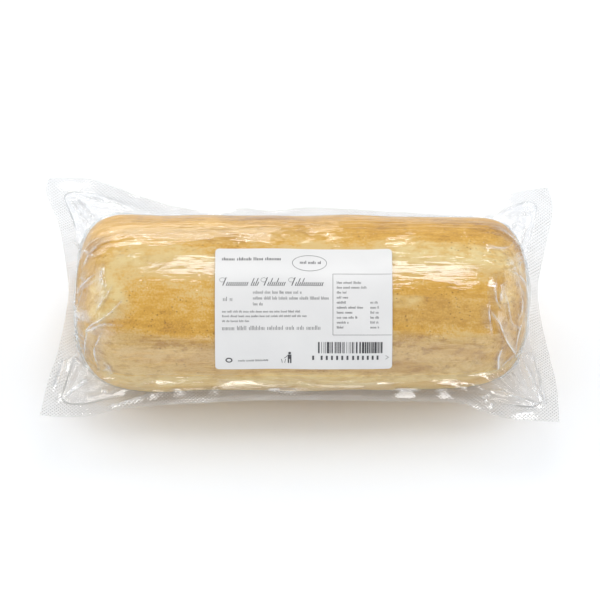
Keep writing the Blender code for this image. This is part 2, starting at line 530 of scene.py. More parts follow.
def patches(table, x, up):
    total = np.zeros_like(x)
    for place, angle, half_length, half_width, strength in table:
        reach = np.hypot((x / MM - place) / half_length, (up - angle) / half_width)
        total += strength * (1.0 - ramp(0.5, 1.5, reach))
    return total


def paint_cheese(cheese, verts):
    """Where the rind is smoked darker, paler, or dull tan, as broad patches."""
    _, y, z = log_shares(verts)
    up = np.degrees(np.arctan2(z, -y)) + 5.0 * fractal(verts * (22.0, 60.0, 60.0), 3, 21)
    up = np.where(up < -150.0, up + 360.0, up)
    x = verts[:, 0] - LOG_OFFSET_X
    x = x + 5.0 * MM * fractal(verts * 60.0, 3, 27)
    to_end = np.abs(x) / LOG_HALF_LENGTH
    broad = fractal(verts * (14.0, 42.0, 42.0), 3, 33)
    top = ramp(96.0, 124.0, up)
    gold = ramp(26.0, 33.0, up) * (1.0 - ramp(58.0, 74.0, up))
    smoke = 0.20 + 0.56 * top + 0.25 * gold + 0.20 * broad + patches(DARK_PATCHES, x, up)
    smoke += 0.50 * ramp(0.84, 0.96, to_end)
    tan = (1.0 - ramp(24.0, 32.0, up)) * np.clip(0.8 + 0.3 * broad, 0.0, 1.0)
    tan *= ramp(-20.0, -4.0, up) * 0.20 + 0.80
    tan = np.maximum(tan, patches(DULL_PATCHES, x, up))
    ends = ramp(0.86, 0.98, to_end) * ramp(-0.2, 0.5, fractal(verts * 38.0, 3, 41))
    pale = np.maximum(patches(PALE_PATCHES, x, up), 0.35 * ends)
    set_attributes(cheese, smoke=np.clip(smoke, 0.0, 1.3), tan=np.clip(tan, 0.0, 1.0),
                   pale=np.clip(pale, 0.0, 1.0))


# ---------------- film

def catmull(before, start, end, after, share):
    """Points on the smooth curve from start to end, for shares from 0 to 1."""
    a, b, c, d = (np.array(point) for point in (before, start, end, after))
    t = np.asarray(share)[:, None]
    return 0.5 * (2.0 * b + (c - a) * t + (2.0 * a - 5.0 * b + 4.0 * c - d) * t ** 2
                  + (3.0 * b - a - 3.0 * c + d) * t ** 3)


def smooth_path(points, count=14):
    """A smooth dense line through a few points."""
    points = [points[0], *points, points[-1]]
    shares = np.linspace(0.0, 1.0, count, endpoint=False)
    runs = [catmull(*points[k - 1:k + 3], shares) for k in range(1, len(points) - 2)]
    return np.vstack([*runs, np.array(points[-1], dtype=float)[None]])


def edge_curves():
    """The bag's four edges as dense curves, each from one corner to the next."""
    following = EDGES[1:] + EDGES[:1]
    return [smooth_path([*edge, after[0]], 60) * MM for edge, after in zip(EDGES, following)]


def at_lengths(path, length, wanted):
    """Points on a path where its length, as arc_length gives it, reaches the wanted values."""
    return np.stack([np.interp(wanted, length, path[:, k]) for k in range(3)], axis=-1)


def even(curve, count):
    """The curve's points, spaced evenly along its length; the first is kept, the last left out."""
    length = arc_length(curve)
    return at_lengths(curve, length, np.linspace(0.0, length[-1], count, endpoint=False))


def edge_at(edge, x):
    """Points on the front or back edge at places along the log."""
    edge = edge[np.argsort(edge[:, 0])]
    return np.stack([x] + [np.interp(x, edge[:, 0], edge[:, k]) for k in (1, 2)], axis=-1)


def film_stations():
    """Where each line of the film starts on the log's spine and ends on the bag's edge."""
    front, right, back, left = edge_curves()
    low, high = LOG_OFFSET_X - SPINE, LOG_OFFSET_X + SPINE
    starts, rims = [], []

    def side(edge, direction):
        """Even stations along the front or back edge, from left to right (1) or back (-1)."""
        places = np.linspace(low, high, SIDE_STATIONS, endpoint=False)[::direction]
        if direction < 0:
            places = places + (high - low) / SIDE_STATIONS
        rims.append(edge_at(edge, places))
        starts.append(np.stack([places, np.full_like(places, LOG_OFFSET_Y)], axis=-1))

    def fan(before, outer, after, centre):
        """The fan at one end, which passes through both corners of the bag."""
        outward = np.sign(centre - LOG_OFFSET_X)
        joint = np.array([centre])
        first, last = (edge[outward * (edge[:, 0] - centre) > 0.0] for edge in (before, after))
        parts = [np.vstack([edge_at(before, joint), first]), outer, np.vstack([last, edge_at(after, joint)])]
        lengths = [arc_length(part)[-1] for part in parts]
        counts = [max(2, round(FAN_STATIONS * length / sum(lengths))) for length in lengths]
        counts[1] += FAN_STATIONS - sum(counts)
        rims.append(np.vstack([even(part, count) for part, count in zip(parts, counts)]))
        starts.append(np.tile([centre, LOG_OFFSET_Y], (FAN_STATIONS, 1)))

    side(front, 1)
    fan(front, right, back, high)
    side(back, -1)
    fan(back, left, front, low)
    return np.vstack(starts), np.vstack(rims)


def section_curves(starts, rims):
    """For each line, the log's surface above it, from under the spine, round the side, to the top."""
    direction = rims[:, :2] - starts
    direction /= np.linalg.norm(direction, axis=1)[:, None]
    side = np.where(direction[:, 1] < 0.0, 0.0, math.pi)

    def over_log(reach):
        plan = starts + direction * reach[:, None]
        x = np.clip((plan[:, 0] - LOG_OFFSET_X) / LOG_HALF_LENGTH, -1.0, 1.0)
        return np.abs(plan[:, 1] - LOG_OFFSET_Y) < LOG_HALF_WIDTH * log_girth(x, side) * log_lumps(x, side)

    reach = last_inside(over_log, np.linalg.norm(rims[:, :2] - starts, axis=1), 40)
    turn = np.linspace(-math.pi / 2.0, math.pi / 2.0, 361)
    plan = starts[:, None] + direction[:, None] * (reach[:, None] * np.cos(turn))[..., None]
    x = (plan[..., 0] - LOG_OFFSET_X) / LOG_HALF_LENGTH
    y = (plan[..., 1] - LOG_OFFSET_Y) / LOG_HALF_WIDTH
    sign = np.sign(turn)[None]
    height = np.abs(np.sin(turn))[None] * np.ones_like(x)
    for _ in range(8):
        around = np.arctan2(sign * height, -y)
        full = log_girth(x, around) * log_lumps(x, around)
        height = np.sqrt(np.maximum(0.0, full ** 2 - y ** 2))
    z = sign * height * LOG_HALF_HEIGHT + LOG_MIDDLE
    return direction, reach, np.concatenate([plan, z[..., None]], axis=-1)


def walk(curve, side, count):
    """Points along one section curve from the seal plane to the spine, up (side 1) or down (-1)."""
    length = arc_length(curve)
    begin = np.interp(SEAL_HEIGHT, curve[:, 2], length)
    end = length[-1] if side > 0.0 else 0.0
    share = np.linspace(0.0, 1.0, count + 1)[1:]
    share = 0.5 * share + 0.5 * share ** 2
    return at_lengths(curve, length, begin + (end - begin) * share)


def seal_distance(rows):
    """Distance in from the bag's edges, with the inside corners of the seal rounded."""
    nearest = []
    for curve in edge_curves():
        line = curve[::6, :2]
        gap = rows[..., None, :2] - line
        nearest.append(np.sqrt((gap ** 2).sum(-1).min(-1)))
    nearest = np.sort(np.array(nearest), axis=0)
    limit = SEAL_WIDTH + SEAL_CORNER
    first = np.maximum(limit - nearest[0], 0.0)
    second = np.maximum(limit - nearest[1], 0.0)
    return np.where(first + second > 0.0, limit - np.hypot(first, second), nearest[0])


def flange(starts, rims, direction, reach):
    """The flat film from the bag's edge in to the log: rows of points, outermost first."""
    inner = starts + direction * reach[:, None]
    width = np.linalg.norm(rims[:, :2] - inner, axis=1)
    seal = np.minimum(SEAL_WIDTH * 1.15, 0.6 * width)
    shares = [seal * ring / SEAL_RINGS / width for ring in range(SEAL_RINGS)]
    shares += [(seal + (width - seal) * ring / FLANGE_RINGS) / width for ring in range(FLANGE_RINGS + 1)]
    sway = 1.2 * MM * noise(np.concatenate([inner, inner[:, :1] * 0.0], axis=1) * 28.0, 91)
    rows = []
    for share in shares:
        plan = rims[:, :2] + (inner - rims[:, :2]) * share[:, None]
        height = rims[:, 2] * np.maximum(0.0, 1.0 - share) ** 0.8 + sway * ramp(0.4, 1.0, share)
        rows.append(np.concatenate([plan, (SEAL_HEIGHT + height)[:, None]], axis=-1))
    rows = np.array(rows)
    return rows, seal_distance(rows), np.array(shares)


CORNER_CREASES = 6
CREASE_DEPTHS = (2.0 * MM, 2.0 * MM, 1.3 * MM, 0.9 * MM)
PLEAT_DEPTH = 0.4 * MM
END_CORE = 80.0 * MM
END_REACH = 120.0 * MM

# Folds of film over the log's ends: the end (-1 left, 1 right), height and half width in mm, and
# the points of the crest as degrees from straight out (towards the front) and degrees up.
FOLDS = (
    (-1, 2.6, 2.2, ((55, 44), (53, 37), (50, 31), (45, 23), (45, 14), (44, 4), (39, -10))),
    (-1, 1.4, 1.6, ((41, 47), (42, 41), (42, 35))),
    (-1, 2.0, 3.0, ((59, 31), (53, 29), (48, 24), (44, 19))),
    (-1, 2.4, 3.0, ((-14, 44), (-4, 35), (10, 31), (17, 25), (24, 18))),
    (-1, 2.2, 2.6, ((22, 34), (28, 24), (32, 15), (36, 6), (41, -3))),
    (-1, 1.8, 1.8, ((43, -2), (49, -6), (53, -13), (56, -22))),
    (-1, 1.8, 1.6, ((52, 22), (51, 13), (52, 7), (54, -2))),
    (-1, 1.5, 1.8, ((18, 52), (28, 48), (38, 46))),
    (-1, 1.5, 1.6, ((4, 40), (-3, 46), (-10, 52))),
    (-1, 1.4, 1.5, ((56, 8), (60, 2), (62, -8))),
    (-1, 1.6, 1.8, ((30, -4), (36, -14), (40, -26))),
    (1, 1.7, 1.4, ((32, 50), (39, 47), (44, 42), (45, 36))),
    (1, 1.5, 1.3, ((29, 45), (36, 43), (43, 38))),
    (1, 1.8, 1.5, ((51, 41), (54, 38), (56, 33), (57, 27))),
    (1, 2.6, 2.0, ((52, 37), (50, 30), (50, 23), (49, 16), (45, 5), (42, -4))),
    (1, 2.4, 2.6, ((10, 28), (18, 20), (28, 16), (28, 8), (35, 4), (41, -3), (44, -12))),
    (1, 1.6, 1.6, ((53, 14), (56, 7), (56, -2), (58, -12))),
    (1, 1.8, 1.7, ((58, -12), (51, -8), (43, -9), (30, -12))),
    (1, 1.8, 2.4, ((-32, 49), (-23, 42), (-15, 36), (-6, 31))),
    (1, 2.0, 2.2, ((-6, 34), (2, 24), (9, 16), (14, 6))),
    (1, 1.4, 1.6, ((22, 30), (28, 25), (34, 22))),
)
# Sharp folds of the flat film: both ends of the crest, its half width and its height, in mm.
FLAT_FOLDS = (
    (-130, -45.5, -123.5, -50, 8.5, 2.5),
    (-137, -76, -121, -61, 3, 0.9),
    (-138.5, -68, -133.5, -47, 2.6, 0.8),
    (-112, -67.5, -109, -68, 3, 0.8),
    (-108, -79, -89, -72, 2.4, 0.6),
    (-86.5, -71, -83, -70, 3.2, 0.9),
    (-74, -68, -67, -67.5, 3.4, 0.9),
    (-52, -67, -46, -67, 3, 0.6),
    (-20, -66, -2, -66.5, 3, 0.5),
    (54, -67, 67, -67.5, 5.2, 1.35),
    (77.5, -67.5, 87, -68, 5.2, 1.40),
    (103, -72, 106, -73, 3, 0.9),
    (106.5, -77, 109, -77.5, 2.6, 0.8),
    (116, -70, 136, -78, 2.6, 0.9),
    (127.5, -47, 137, -77, 3.2, 1.1),
    (133.5, -50, 138.5, -76, 2.4, 0.8),
    (129, -42, 133.5, -41, 4.2, 1.1),
    (121, -84, 134, -82.5, 3.4, 0.9),
    (106, -68.5, 116, -67.5, 2.8, 0.7),
    (-135, 72, -124, 55, 2.4, 0.9),
    (-133, 74, -118.5, 57.5, 2.2, 0.8),
    (-131, 42, -126.5, 33, 2, 0.6),
    (-130, 76, -104, 69, 2.4, 0.6),
    (129.5, 60, 119, 48, 3.4, 1.1),
    (134, 58, 126.5, 34, 3, 1),
    (131.5, 31, 127, 17, 2.2, 0.6),
    (136, 66, 118, 62, 2.4, 0.7),
)
RANDOM_FOLDS = 34
CREST_WIDTH = 0.55 * MM
FLAT_CREST_WIDTH = 0.8 * MM
# Where the film on top is gathered in small ripples near the right end.
COMB_X = 97.0 * MM
COMB_Z = 90.0 * MM
COMB_REACH = 6.0 * MM


def end_points(side, out, up):
    """Points on the log's end, looked at from inside it, at degrees from straight out and degrees up."""
    out, up = np.radians(out), np.radians(up)
    ray = np.stack([side * np.cos(up) * np.cos(out), -np.cos(up) * np.sin(out), np.sin(up)], axis=-1)
    core = np.array([LOG_OFFSET_X + side * END_CORE, LOG_OFFSET_Y, LOG_MIDDLE])

    def in_log(reach):
        return log_field(core + ray * reach[..., None])[0] < 0.0

    reach = last_inside(in_log, np.full(ray.shape[:-1], END_REACH), 30)
    return core + ray * reach[..., None]


def random_folds(seed):
    """Small creases that run out over the shoulder of each end, at random."""
    rng = np.random.default_rng(seed)
    folds = []
    for side in (-1, 1):
        for _ in range(RANDOM_FOLDS):
            turn = rng.uniform(0.0, math.tau)
            begin = rng.uniform(18.0, 44.0)
            length = rng.uniform(8.0, 24.0)
            swing = rng.uniform(-0.6, 0.6)
            path = []
            for share in (0.0, 0.5, 1.0):
                reach = begin + length * share
                heading = turn + swing * share ** 2
                path.append((reach * math.cos(heading), 0.85 * reach * math.sin(heading)))
            folds.append((side, rng.uniform(0.4, 1.4), rng.uniform(0.9, 1.8), tuple(path)))
    return tuple(folds)


def end_ripples(points):
    """Fine sharp creases that run out over the shoulder of each end: height, and crest lines that are
    painted as highlights.
    """
    x = points[..., 0] - LOG_OFFSET_X
    side = np.sign(x)
    y = points[..., 1] - LOG_OFFSET_Y
    z = points[..., 2] - LOG_MIDDLE
    core = np.abs(x) - END_CORE
    reach = np.arctan2(np.hypot(y, z), core)
    turn = np.arctan2(z, y) + 0.5 * noise(points * 30.0, 61)
    lattice = np.stack([np.cos(turn) * 5.0 + side * 9.0, np.sin(turn) * 5.0, reach * 1.6], axis=-1)
    large = 1.0 - np.abs(noise(lattice, 62))
    small = 1.0 - np.abs(noise(lattice * 2.1, 63))
    patchy = ramp(-0.3, 0.5, noise(points * 34.0, 64))
    zone = ramp(0.05, 0.35, reach) * (1.0 - ramp(0.95, 1.35, reach)) * (core > 0.0)
    height = 1.5 * MM * (large ** 4 + 0.6 * small ** 4)
    lines = np.maximum(ramp(0.86, 0.99, large), 0.7 * ramp(0.88, 0.99, small))
    return height * patchy * zone, lines * patchy * zone


def beside_fold(line, points, normal, half_width):
    """For points near a fold's crest line: how far across it, which way, and how full the fold is."""
    gap = points[:, None] - line[None]
    distance = np.linalg.norm(gap, axis=2)
    closest = distance.argmin(1)
    each = np.arange(len(points))
    tangent = np.gradient(line, axis=0)
    tangent /= np.linalg.norm(tangent, axis=1)[:, None] + 1e-12
    across = np.cross(normal, tangent[closest])
    offset = np.einsum("ij,ij->i", gap[each, closest], across)
    past_end = distance[each, closest] ** 2 - offset ** 2
    share = closest / (len(line) - 1.0)
    envelope = np.sin(math.pi * np.clip(0.06 + 0.88 * share, 0.0, 1.0)) ** 0.7
    envelope *= np.exp(-np.maximum(past_end, 0.0) / (1.5 * half_width) ** 2)
    return offset, across, envelope


def raise_folds(grid, folds):
    """The film's points pushed out along the folds, and how much each is creased, a crest line (a painted
    highlight) or a dark side (painted shade).
    """
    points = grid.reshape(-1, 3).copy()
    distance, normal = log_field(points)
    lift, creased, lines, shades = np.zeros((4, len(points)))
    lean = np.zeros_like(points)
    for number, (side, height, half_width, path) in enumerate(folds):
        height *= MM
        half_width *= MM
        angles = smooth_path(path)
        line = end_points(side, angles[:, 0], angles[:, 1])
        low, high = line.min(0) - 3.0 * half_width, line.max(0) + 3.0 * half_width
        near = np.where(np.all((points > low) & (points < high), axis=1))[0]
        if len(near) == 0:
            continue
        offset, across, envelope = beside_fold(line, points[near], normal[near], half_width)
        one_side = 1.0 if number % 2 else -1.0
        skewed = offset * np.where(offset * one_side > 0.0, 1.25, 0.48) / half_width
        raised = height * envelope * np.clip(1.07 - np.sqrt(skewed ** 2 + 0.005), 0.0, 1.0)
        lift[near] = np.maximum(lift[near], raised) + 0.3 * np.minimum(lift[near], raised)
        lean[near] += (raised ** 2 / height * 0.5 * one_side)[:, None] * across
        creased[near] = np.maximum(creased[near], envelope * np.exp(-0.6 * skewed ** 2))
        visible = envelope * min(1.0, height / (1.6 * MM))
        # The crest line, painted later as a highlight by a white veil.
        lines[near] = np.maximum(lines[near], visible * bell(offset / CREST_WIDTH))
        # The dark side beside the crest, painted later as shade in the film's tint.
        beside = (offset * one_side - 2.2 * CREST_WIDTH) / (1.3 * CREST_WIDTH)
        shades[near] = np.maximum(shades[near], visible * bell(beside))
    ripples, ripple_lines = end_ripples(points)
    clinging = bell(distance / (2.0 * MM))
    moved = points + normal * (lift + ripples * clinging)[:, None] + lean
    # The ripples' crests join the painted crease highlights.
    lines = np.maximum(lines, 0.6 * ripple_lines * clinging)
    marks = [values.reshape(grid.shape[:-1]) for values in (creased, lines, shades)]
    return moved.reshape(grid.shape), *marks


def corner_creases(rows):
    """Creases that run in from the bag's four corners: their height, and their sharp lines, which are
    painted as shade in the film's tint.
    """
    height, lines = np.zeros((2, *rows.shape[:2]))
    for index, corner in enumerate(CORNERS[:, :2]):
        side_x, side_y = np.sign(corner)
        inset = np.sign(corner) * (SEAL_WIDTH + 4.0 * MM)
        offset = rows[..., :2] - (corner - inset)
        radius = np.linalg.norm(offset, axis=-1)
        heading = np.arctan2(-offset[..., 1] * side_y, -offset[..., 0] * side_x)
        rng = np.random.default_rng(100 + index)
        bend = 0.12 * noise(rows * 55.0, 50 + index)
        strength = ramp(0.0, 12.0 * MM, radius) * (1.0 - ramp(36.0 * MM, 64.0 * MM, radius))
        for _ in range(CORNER_CREASES):
            waves = rng.uniform(2.0, 9.0)
            phase = rng.uniform(0.0, math.tau)
            wave = 2.0 / math.pi * np.arcsin(np.sin(2.0 * waves * (heading + bend) + phase))
            height += CREASE_DEPTHS[index] * wave * strength / waves
            sharp = ramp(0.95, 1.0, np.abs(wave)) * strength * min(1.0, 3.0 / waves)
            lines = np.maximum(lines, sharp)
    return height, lines


def flat_relief(rows, run, share):
    """How far creases, ripples and the weld's sway raise the flat film, and its sharp crease lines, which
    are painted as shade.
    """
    height, lines = corner_creases(rows)
    inside = ramp(SEAL_WIDTH, SEAL_WIDTH * 1.6, run) * (1.0 - 0.5 * ramp(0.8, 1.0, share))
    ripples = 0.5 * MM * fractal(rows * (60.0, 25.0, 25.0), 3, 77)
    along = 1.0 - ramp(85.0 * MM, 105.0 * MM, np.abs(rows[..., 0]))
    pleats = noise(rows * (170.0, 40.0, 40.0), 79)
    ripples += PLEAT_DEPTH * pleats * ramp(0.3, 0.8, share) * along
    plan = rows * (1.0, 1.0, 0.0)
    tilt = 0.16 * noise(plan * 38.0, 83) + 0.05 * noise(plan * 160.0, 84)
    band = tilt * (np.minimum(run, SEAL_WIDTH) - 0.5 * SEAL_WIDTH)
    return (height + ripples) * inside + band * (1.0 - 0.7 * inside), lines * inside


def flat_folds(rows):
    """Tent-shaped folds of the flat film: how far they raise it, their crests (painted highlights) and their
    dark sides (painted shade).
    """
    height, crests, shades = np.zeros((3, *rows.shape[:2]))
    for x0, y0, x1, y1, half_width, rise in FLAT_FOLDS:
        start = np.array([x0, y0]) * MM
        crest = np.array([x1, y1]) * MM - start
        offset = rows[..., :2] - start
        share = np.clip((offset @ crest) / (crest @ crest), 0.0, 1.0)
        gap = offset - share[..., None] * crest
        away = np.linalg.norm(gap, axis=-1)
        body = np.clip(0.35 + 4.0 * np.minimum(share, 1.0 - share), 0.0, 1.0)
        height += rise * MM * body * np.maximum(0.0, 1.0 - away / (half_width * MM))
        crests = np.maximum(crests, body * bell(away / FLAT_CREST_WIDTH))
        signed = away * np.where(gap[..., 1] > 0.0, 1.0, -1.0)
        beside = (signed - 1.5 * FLAT_CREST_WIDTH) / FLAT_CREST_WIDTH
        shades = np.maximum(shades, body * bell(beside))
    return height, crests, shades


def corner_share(rows):
    """How near the flat film is to a corner of the bag: 1 there, 0 along the middle of the edges."""
    away = np.linalg.norm(rows[..., None, :2] - CORNERS[:, :2], axis=-1).min(-1)
    return 1.0 - ramp(26.0 * MM, 66.0 * MM, away)


def film_zones(n):
    """The parts of the film that look different, as values that the material's layers share.

    Film is loose beside the log's ends. The foot runs beside the log's front and back, and is pinched
    next to its edge, where a contact shadow is painted into the film's tint.
    """
    even = n.place()
    x, y, _ = n.split(even)
    from_edge = n.attribute("from_edge")
    zone = SimpleNamespace(even=even, y=y, from_edge=from_edge)
    waves = math.tau / EMBOSS_PITCH
    zone.grid = n.times(n.math("SINE", n.times(x, waves)), n.math("SINE", n.times(y, waves)))
    zone.worn = n.step(n.noise(even, 45.0, 3.0), 0.35, 0.65, 0.35, 1.0)
    zone.seal = n.step(from_edge, SEAL_WIDTH / MM + 0.25, SEAL_WIDTH / MM - 0.25)
    zone.inside = n.math("SUBTRACT", 1.0, zone.seal)
    zone.over_log = n.step(from_edge, OVER_LOG - 2.0, OVER_LOG - 0.5)
    aside = n.math("ABSOLUTE", x)
    loose = n.times(zone.inside, n.step(aside, 0.112, 0.122))
    zone.loose = n.times(loose, n.math("SUBTRACT", 1.0, zone.over_log))
    zone.foot = n.times(n.step(aside, 0.118, 0.095), n.step(from_edge, 1.5, 6.0))
    # Where the film is pinched at the foot: it mirrors less there, and a contact shadow is painted into its
    # tint.
    zone.pinched = n.times(zone.foot, n.step(from_edge, 14.0, 10.0))
    zone.crinkle = n.attribute("crinkle")
    zone.creased = n.attribute("creased")
    # Crest lines, where a white veil paints a crease highlight.
    zone.line = n.patchy(n.attribute("line"), even, 130.0, 0.40, 0.60, 0.25, 1.0)
    return zone


def film_normal(n, zone):
    """The film's relief: lumps and grooves, wrinkles behind, puckers at the ends and the weld's dots."""
    grooves = n.noise(n.place(0.10), 260.0, 3.0, 0.55)
    lumps = n.noise(n.place(0.35), 110.0, 2.0, 0.5)
    puckers = n.noise(n.place(1.0, 0.22, 0.22), 300.0, 3.0, 0.55, 0.4)
    sharp = n.noise(zone.even, 330.0, 4.0, 0.6, 0.8)
    wrinkles = n.math("ABSOLUTE", n.math("SUBTRACT", n.noise(n.place(0.07), 150.0, 2.0), 0.5))
    wrinkles = n.times(n.math("MINIMUM", wrinkles, 0.10), n.step(zone.y, 0.004, 0.014, 0.30, 1.0))
    height = n.scaled(lumps, 1.0, n.times(grooves, 0.45))
    height = n.scaled(wrinkles, 1.3, height)
    height = n.scaled(n.times(puckers, zone.crinkle), 0.55, height)
    height = n.scaled(n.times(sharp, zone.crinkle), 0.45, height)
    normal = n.bump(n.times(height, zone.inside), 0.8, 0.0012)
    emboss = n.times(n.times(zone.grid, zone.seal), zone.worn)
    return n.bump(emboss, 0.35, 0.00010, normal)


def film_clear(n, zone, dots):
    """The see-through layer: a faint tint, with painted shade beside fold crests and creases, a painted
    contact shadow at the log's foot, and darker beside the weld and in its dots.
    """
    brim = n.math("ABSOLUTE", n.math("SUBTRACT", zone.from_edge, SEAL_WIDTH / MM + 0.6))
    brim = n.times(n.step(brim, 0.75, 0.15), n.attribute("corner"))
    brim = n.patchy(brim, zone.even, 60.0, 0.36, 0.56, 0.25, 1.0)
    # Painted shade: dark lines beside fold crests and along corner creases.
    groove = n.patchy(n.attribute("groove"), zone.even, 90.0, 0.38, 0.62, 0.2, 0.7)
    marks = n.math("MAXIMUM", n.math("MAXIMUM", groove, brim), dots)
    tint = n.mix(zone.loose, (0.978, 0.976, 0.973), (0.958, 0.959, 0.962))
    # Painted contact shadow: a darker tint at the log's foot.
    tint = n.mix(zone.pinched, tint, (0.93, 0.93, 0.93))
    # The marks' dark tint: grey over flat film, brown over the log, where it paints the shade and the
    # refracted cheese beside a fold.
    dark = n.mix(zone.over_log, (0.73, 0.735, 0.74), (0.74, 0.60, 0.42))
    return n.add("ShaderNodeBsdfTransparent", Color=n.mix(marks, tint, dark))


def film_shine(n, zone, normal):
    """How much the film mirrors: more at a grazing view and on creases, less where crinkled or pinched."""
    facing = n.add("ShaderNodeLayerWeight", Blend=0.5, Normal=normal)
    grazing = n.math("POWER", facing.outputs["Facing"], 5.0)
    shine = n.scaled(grazing, 0.33, n.scaled(zone.crinkle, -0.030, 0.092))
    shine = n.scaled(zone.creased, 0.12, shine)
    shine = n.math("MULTIPLY_ADD", zone.line, 0.30, shine, clamp=True)
    return n.times(shine, n.scaled(zone.pinched, -0.50, 1.0))


def film_haze(n, zone):
    """How milky the film is: a white veil along crest lines, a painted crease highlight that is partly the
    film's own whitening there; a little milkier along creases, and in the weld.
    """
    veil = n.scaled(zone.line, 0.55, n.scaled(zone.creased, 0.06, 0.01))
    milky = n.times(n.scaled(zone.worn, 0.05, 0.05), n.scaled(zone.foot, -0.85, 1.0))
    return n.scaled(zone.seal, milky, veil)


def film_material():
    """Clear film: a see-through layer, a glossy one over it and a thin matt haze over both."""
    n = Material("clear_film")
    zone = film_zones(n)
    normal = film_normal(n, zone)
    dots = n.times(n.step(zone.grid, 0.15, 0.75, 0.0, 0.9), n.times(zone.seal, zone.worn))
    ray = n.add("ShaderNodeLightPath")
    passing = n.scaled(ray.outputs["Is Shadow Ray"], -0.6, 1.0)
    gloss_colour = n.mix(zone.over_log, (1.0, 1.0, 1.0), (0.72, 0.86, 1.0))
    gloss = n.add("ShaderNodeBsdfGlossy", Color=gloss_colour, Roughness=0.04, Normal=normal)
    film = n.layer(n.times(film_shine(n, zone, normal), passing), film_clear(n, zone, dots), gloss)
    haze_colour = n.mix(dots, (0.94, 0.945, 0.95), (0.74, 0.75, 0.76))
    haze = n.add("ShaderNodeBsdfDiffuse", Color=haze_colour, Normal=normal)
    return n.finish(n.layer(n.times(film_haze(n, zone), passing), film, haze))


def ease_seam(grid, seam):
    """Smooth the rows next to the seam, where the flat film meets the log."""
    weight = bell((np.arange(1, len(grid) - 1) - seam) / 0.9)
    for _ in range(3):
        smooth = 0.5 * (grid[2:] + grid[:-2]) - grid[1:-1]
        grid[1:-1] += 0.6 * weight[:, None, None] * smooth


def off_rind(grid):
    """The film moved clear of the rind, and over its lumps where it clings to them."""
    distance, normal = log_field(grid)
    room = FILM_LIFT + np.maximum(rind_relief(grid, fine=False), -0.25 * MM)
    clinging = ramp(1.2 * MM, 0.2 * MM, distance)
    wanted = np.where(distance < room, room, distance + (room - FILM_LIFT) * clinging)
    return grid + (wanted - distance)[..., None] * normal


def film_sheet(name, flat_film, over_log, side, folds, material):
    """One face of the bag, upper (side 1) or lower (-1): flat film and film over the log, as one grid."""
    rows, run, crests, flat_shades = flat_film
    flat = rows.copy()
    parted = ramp(SEAL_WIDTH, SEAL_WIDTH + 2.0 * MM, run)
    parted *= 0.30 + 0.55 * noise(flat * (48.0, 48.0, 0.0), 97)
    flat[..., 2] += side * (0.5 * FILM_GAP * ramp(0.0, 3.0 * MM, run) + MM * np.maximum(parted, 0.0))
    grid = np.concatenate([flat, over_log], axis=0)
    ease_seam(grid, len(flat) - 1)
    grid, creased, lines, grooves = raise_folds(grid, folds)
    grid = off_rind(grid)
    if side < 0.0:
        grid[..., 2] = np.maximum(grid[..., 2], FILM_CLEARANCE)
    faces = grid_faces(*grid.shape[:2], flip=side < 0.0)
    piece = mesh_piece(name, grid.reshape(-1, 3), faces, material)
    from_edge = np.full(grid.shape[:2], OVER_LOG)
    from_edge[:len(run)] = run / MM
    corner = np.zeros(grid.shape[:2])
    corner[:len(run)] = corner_share(rows)
    along = (grid[..., 0] - COMB_X) / COMB_REACH
    up = (grid[..., 2] - COMB_Z) / COMB_REACH
    comb = np.exp(-along ** 2 - up ** 2)
    # The flat folds' crests join the painted crease highlights.
    lines[:len(run)] = np.maximum(lines[:len(run)], 0.7 * crests)
    # The flat film's dark lines beside folds and creases, painted as shade.
    grooves[:len(run)] = flat_shades
    crinkle = np.maximum(ramp(0.78, 0.95, toward_end(grid)), 0.4 * comb)
    set_attributes(piece, from_edge=from_edge, corner=corner, crinkle=crinkle, creased=creased,
                   line=lines, groove=grooves)
    piece.data.set_sharp_from_angle(angle=math.radians(38.0))
    return piece


def make_film():
    starts, rims = film_stations()
    direction, reach, sections = section_curves(starts, rims)
    rows, run, share = flange(starts, rims, direction, reach)
    height, shades = flat_relief(rows, run, share)
    tents, crests, tent_shades = flat_folds(rows)
    rows[..., 2] += height + tents
    # Dark lines along creases and beside the tents' crests, painted later as shade.
    flat_film = (rows, run, crests, np.maximum(shades, tent_shades))
    material = film_material()

    def sheet(name, side, rings, folds):
        walks = np.array([walk(curve, side, rings) for curve in sections])
        over_log = onto_log(walks.transpose(1, 0, 2), FILM_LIFT)
        return film_sheet(name, flat_film, over_log, side, folds, material)

    upper = sheet("film_top", 1.0, TOP_RINGS, FOLDS + random_folds(3))
    lower = sheet("film_base", -1.0, BASE_RINGS, random_folds(4))
    return upper, lower


# ---------------- label

LABEL_LIFT = 0.30 * MM
LABEL_PAPER = 0.16 * MM
PRINT_LIFT = 0.05 * MM
LABEL_BACK = FILM_LIFT + LABEL_LIFT
LABEL_FRONT = LABEL_BACK + LABEL_PAPER
LABEL_COLUMNS = 101
LABEL_ROWS = 75
LABEL_RADIUS = (LOG_HALF_WIDTH + LOG_HALF_HEIGHT) / 2.0
TITLE_BASE = 14.0
TITLE_LEAN = 0.42


def on_label(x, y, lift):
    """Points on the log at label coordinates, in metres from the label's middle."""
    points = log_point((x + LABEL_CENTRE_X) / LOG_HALF_LENGTH, LABEL_TILT_UP + y / LABEL_RADIUS)
    _, normal = log_field(points)
    return points + normal * lift[..., None]


def label_wave(x, y):
    """The label's own unevenness: gentle waves, and the upper right corner a little raised."""
    wave = 0.10 * noise(np.stack([x * 40.0, y * 60.0, x * 0.0], axis=-1), 61)
    corner = np.hypot(x - LABEL_LENGTH / 2.0, y - LABEL_HEIGHT / 2.0)
    raised = 0.55 * (1.0 - ramp(3.0 * MM, 15.0 * MM, corner))
    return (wave + raised) * MM


